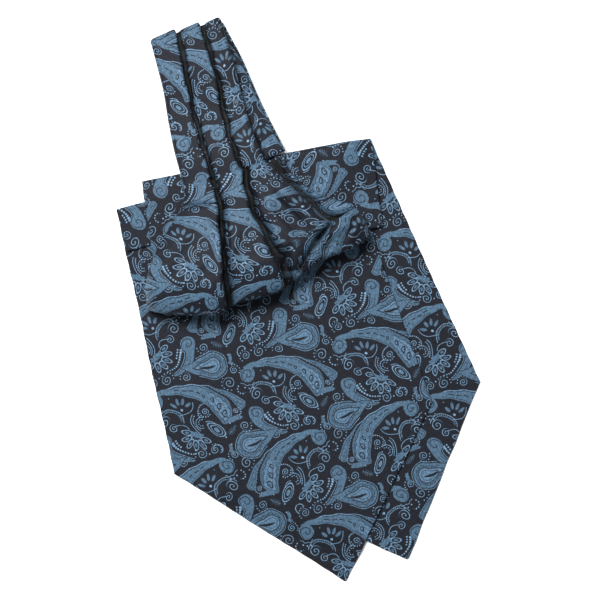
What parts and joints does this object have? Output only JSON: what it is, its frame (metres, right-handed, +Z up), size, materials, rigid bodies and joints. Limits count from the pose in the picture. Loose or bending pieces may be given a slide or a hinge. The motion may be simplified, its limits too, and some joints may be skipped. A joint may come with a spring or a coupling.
{
  "type": "silk cravat",
  "caption": "Self-tie silk day cravat with wide pointed blades and a knife-pleated neckband, doubled over and laid flat on a surface.",
  "frame": {"origin": "on the surface it lies on, below the middle of the folded cravat", "axes": "+Z up from the surface, +Y towards the neckband's loop, +X to the right of the pointed blades seen from above"},
  "size_m": [0.2089, 0.3226, 0.0279],
  "materials": {
    "silk": "soft satin sheen, paisley jacquard in steel blue on charcoal"
  },
  "bodies": {
    "root": {"blade_front": "silk", "blade_back": "silk", "neckband_front": "silk", "neckband_back": "silk", "puff_front": "silk", "fan_back": "silk", "folded_core": "silk"}
  },
  "joints": []
}
